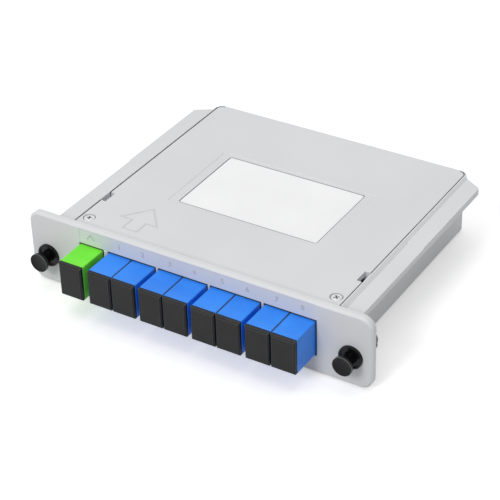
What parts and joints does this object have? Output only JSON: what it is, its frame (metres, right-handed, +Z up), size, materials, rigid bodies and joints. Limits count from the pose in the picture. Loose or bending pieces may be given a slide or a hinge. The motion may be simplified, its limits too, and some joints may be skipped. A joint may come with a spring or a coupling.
{
  "type": "optical splitter cassette",
  "caption": "Plug-in fibre splitter cassette: pale grey box with side wings, front panel, square-body adapters under black dust caps, and a push latch at each end.",
  "frame": {"origin": "middle of the footprint, at the height of the flat underside; the front-to-back middle lies between the faces of the dust caps and the rear wall", "axes": "+X to the right along the panel as seen from the front, +Y from the panel to the rear, +Z up"},
  "size_m": [0.13, 0.11, 0.0267],
  "materials": {
    "housing_plastic": "fine satin, moulded",
    "screw_steel": "plain plated steel",
    "label_paper": "smooth, unprinted",
    "adapter_green": "moulded, slight sheen",
    "adapter_blue": "moulded, slight sheen",
    "sleeve_ceramic": "ground",
    "ferrule_ceramic": "polished",
    "connector_green": "moulded",
    "connector_blue": "moulded",
    "boot_rubber": "soft, matt",
    "fibre_jacket": "smooth jacket",
    "splitter_steel": "bright drawn tube",
    "chip_glass": "polished ends",
    "latch_plastic": "moulded nylon",
    "cap_plastic": "moulded, satin"
  },
  "bodies": {
    "cassette": {"base_housing": "housing_plastic", "top_cover": "housing_plastic", "cover_screws": "screw_steel", "blank_label": "label_paper", "adapter_in": "adapter_green", "adapter_out_1": "adapter_blue", "adapter_out_2": "adapter_blue", "adapter_out_3": "adapter_blue", "adapter_out_4": "adapter_blue", "adapter_out_5": "adapter_blue", "adapter_out_6": "adapter_blue", "adapter_out_7": "adapter_blue", "adapter_out_8": "adapter_blue", "alignment_sleeves": "sleeve_ceramic", "ferrules": "ferrule_ceramic", "connector_in": "connector_green", "connector_out_1": "connector_blue", "connector_out_2": "connector_blue", "connector_out_3": "connector_blue", "connector_out_4": "connector_blue", "connector_out_5": "connector_blue", "connector_out_6": "connector_blue", "connector_out_7": "connector_blue", "connector_out_8": "connector_blue", "connector_boot_in": "boot_rubber", "connector_boot_out_1": "boot_rubber", "connector_boot_out_2": "boot_rubber", "connector_boot_out_3": "boot_rubber", "connector_boot_out_4": "boot_rubber", "connector_boot_out_5": "boot_rubber", "connector_boot_out_6": "boot_rubber", "connector_boot_out_7": "boot_rubber", "connector_boot_out_8": "boot_rubber", "fibre_in": "fibre_jacket", "fibre_out_1": "fibre_jacket", "fibre_out_2": "fibre_jacket", "fibre_out_3": "fibre_jacket", "fibre_out_4": "fibre_jacket", "fibre_out_5": "fibre_jacket", "fibre_out_6": "fibre_jacket", "fibre_out_7": "fibre_jacket", "fibre_out_8": "fibre_jacket", "splitter_tube": "splitter_steel", "waveguide_chip": "chip_glass", "splitter_input_boot": "boot_rubber", "splitter_output_boot": "boot_rubber", "latch_grommet_left": "latch_plastic", "latch_grommet_right": "latch_plastic"},
    "cap_in": {"dust_cap_in": "cap_plastic"},
    "cap_out_1": {"dust_cap_out_1": "cap_plastic"},
    "cap_out_2": {"dust_cap_out_2": "cap_plastic"},
    "cap_out_3": {"dust_cap_out_3": "cap_plastic"},
    "cap_out_4": {"dust_cap_out_4": "cap_plastic"},
    "cap_out_5": {"dust_cap_out_5": "cap_plastic"},
    "cap_out_6": {"dust_cap_out_6": "cap_plastic"},
    "cap_out_7": {"dust_cap_out_7": "cap_plastic"},
    "cap_out_8": {"dust_cap_out_8": "cap_plastic"},
    "latch_left": {"latch_plunger_left": "latch_plastic"},
    "latch_right": {"latch_plunger_right": "latch_plastic"}
  },
  "joints": [
    {"name": "pull_cap_in", "type": "slide", "parent": "cassette", "child": "cap_in", "axis": [0, -1, 0], "range_m": [0, 0.012]},
    {"name": "pull_cap_out_1", "type": "slide", "parent": "cassette", "child": "cap_out_1", "axis": [0, -1, 0], "range_m": [0, 0.012]},
    {"name": "pull_cap_out_2", "type": "slide", "parent": "cassette", "child": "cap_out_2", "axis": [0, -1, 0], "range_m": [0, 0.012]},
    {"name": "pull_cap_out_3", "type": "slide", "parent": "cassette", "child": "cap_out_3", "axis": [0, -1, 0], "range_m": [0, 0.012]},
    {"name": "pull_cap_out_4", "type": "slide", "parent": "cassette", "child": "cap_out_4", "axis": [0, -1, 0], "range_m": [0, 0.012]},
    {"name": "pull_cap_out_5", "type": "slide", "parent": "cassette", "child": "cap_out_5", "axis": [0, -1, 0], "range_m": [0, 0.012]},
    {"name": "pull_cap_out_6", "type": "slide", "parent": "cassette", "child": "cap_out_6", "axis": [0, -1, 0], "range_m": [0, 0.012]},
    {"name": "pull_cap_out_7", "type": "slide", "parent": "cassette", "child": "cap_out_7", "axis": [0, -1, 0], "range_m": [0, 0.012]},
    {"name": "pull_cap_out_8", "type": "slide", "parent": "cassette", "child": "cap_out_8", "axis": [0, -1, 0], "range_m": [0, 0.012]},
    {"name": "push_latch_left", "type": "slide", "parent": "cassette", "child": "latch_left", "axis": [0, 1, 0], "range_m": [0, 0.004]},
    {"name": "push_latch_right", "type": "slide", "parent": "cassette", "child": "latch_right", "axis": [0, 1, 0], "range_m": [0, 0.004]}
  ]
}
